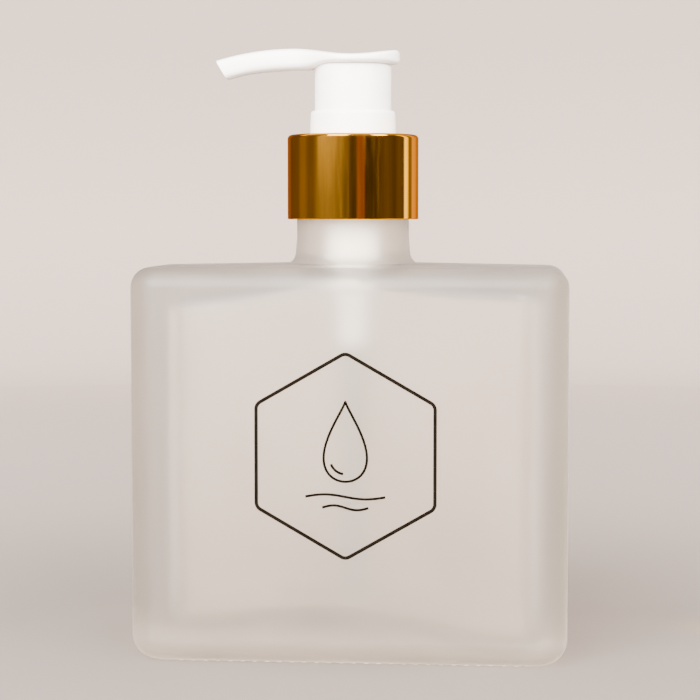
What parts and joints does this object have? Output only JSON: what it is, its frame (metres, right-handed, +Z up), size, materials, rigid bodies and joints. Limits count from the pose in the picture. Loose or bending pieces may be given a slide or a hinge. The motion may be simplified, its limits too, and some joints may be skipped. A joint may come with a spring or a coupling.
{
  "type": "pump bottle",
  "caption": "Flat rectangular frosted glass oil bottle with a metal-sleeved screw cap and a white twist-lock lotion pump with a long spout.",
  "frame": {"origin": "middle of the bottle's base, on the plane it stands on", "axes": "+Z up along the pump's axis, the wide front face looks along -Y, the spout points along -X with the head unlocked"},
  "size_m": [0.1052, 0.043, 0.1481],
  "materials": {
    "frosted_glass": "matte",
    "gold_aluminium": "polished",
    "white_plastic": "satin",
    "natural_plastic": "satin",
    "sealing_plastic": "matte",
    "stainless_steel": "polished"
  },
  "bodies": {
    "bottle": {"bottle": "frosted_glass"},
    "pump_body": {"pump_housing": "white_plastic", "locking_collar": "white_plastic", "gasket": "sealing_plastic", "dip_tube": "natural_plastic", "return_spring": "stainless_steel"},
    "closure": {"screw_cap": "white_plastic", "collar_shell": "gold_aluminium"},
    "plunger": {"valve_plug": "white_plastic"},
    "piston": {"piston": "sealing_plastic"},
    "head": {"pump_head": "white_plastic", "stem": "white_plastic"},
    "check_ball": {"check_ball": "stainless_steel"}
  },
  "joints": [
    {"name": "pump_lift", "type": "slide", "parent": "bottle", "child": "pump_body", "axis": [0, 0, 1], "range_m": [0, 0.00635]},
    {"name": "closure_turn", "type": "hinge", "parent": "pump_body", "child": "closure", "pos_m": [0, 0, 0.115], "axis": [0, 0, 1], "range_deg": [0, 541]},
    {"name": "pump_stroke", "type": "slide", "parent": "pump_body", "child": "plunger", "axis": [0, 0, -1], "range_m": [0, 0.0075], "stiffness_N_per_m": 1500, "springref_m": -0.004, "deforming": ["return_spring"]},
    {"name": "head_swivel", "type": "hinge", "parent": "plunger", "child": "head", "pos_m": [0, 0, 0.14], "axis": [0, 0, 1], "range_deg": [-90, 0]},
    {"name": "piston_slip", "type": "slide", "parent": "plunger", "child": "piston", "axis": [0, 0, 1], "range_m": [0, 0.0011]},
    {"name": "check_ball_lift", "type": "slide", "parent": "pump_body", "child": "check_ball", "axis": [0, 0, 1], "range_m": [0, 0.0015]}
  ],
  "couplings": [
    {"joint": "closure_turn", "follows": "pump_lift", "rad_per_m": 1484.2}
  ]
}
